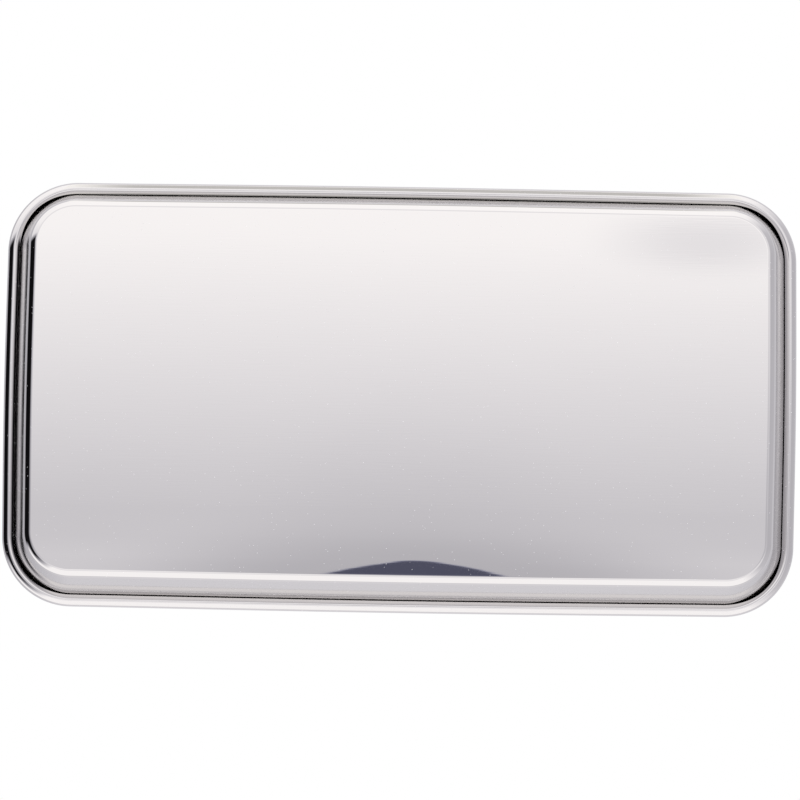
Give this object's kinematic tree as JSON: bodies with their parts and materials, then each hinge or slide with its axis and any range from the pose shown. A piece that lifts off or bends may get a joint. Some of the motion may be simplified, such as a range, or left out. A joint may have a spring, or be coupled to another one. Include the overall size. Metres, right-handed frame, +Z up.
{
  "type": "pill counting tray",
  "caption": "Shallow rectangular tray in mirror-polished stainless steel with rounded corners and a rolled, wired rim, for counting and holding tablets.",
  "frame": {"origin": "centre of the underside, on the surface that the tray rests on", "axes": "+Z up out of the open side, +X along the tray's length, +Y across its width"},
  "size_m": [0.24, 0.13, 0.02],
  "materials": {
    "polished_stainless": "mirror-polished stainless steel sheet with faint polishing lines",
    "steel_wire": "drawn steel wire, dull grey"
  },
  "bodies": {
    "root": {"tray_pan": "polished_stainless", "rim_wire": "steel_wire"}
  },
  "joints": []
}
